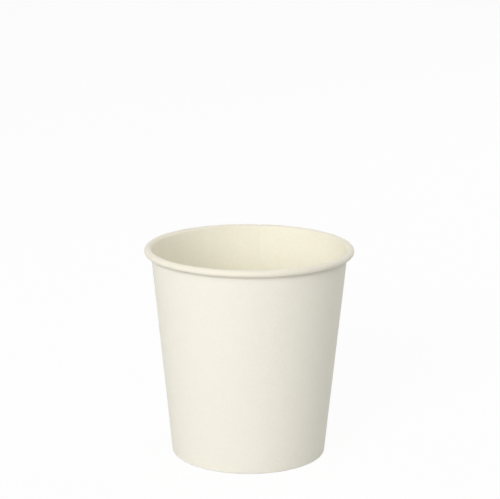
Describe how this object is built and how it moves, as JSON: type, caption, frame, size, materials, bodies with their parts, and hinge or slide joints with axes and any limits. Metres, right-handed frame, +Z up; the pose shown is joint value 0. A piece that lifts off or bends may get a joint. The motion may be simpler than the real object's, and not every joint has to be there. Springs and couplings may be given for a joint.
{
  "type": "paper cup",
  "caption": "Small single-wall paper coffee cup with a rolled rim, a lapped side seam and a raised base held in a folded foot.",
  "frame": {"origin": "on the table, at the middle of the foot", "axes": "+Z up along the cup's axis, -Y towards the viewer, with the side seam at the back, near +Y"},
  "size_m": [0.062, 0.062, 0.0628],
  "materials": {
    "wall_paper": "matt uncoated board outside, thin smooth coating inside and over the curl",
    "base_paper": "thin smooth coating on the upper side, matt board underneath"
  },
  "bodies": {
    "root": {"side_wall": "wall_paper", "base_disc": "base_paper"}
  },
  "joints": []
}
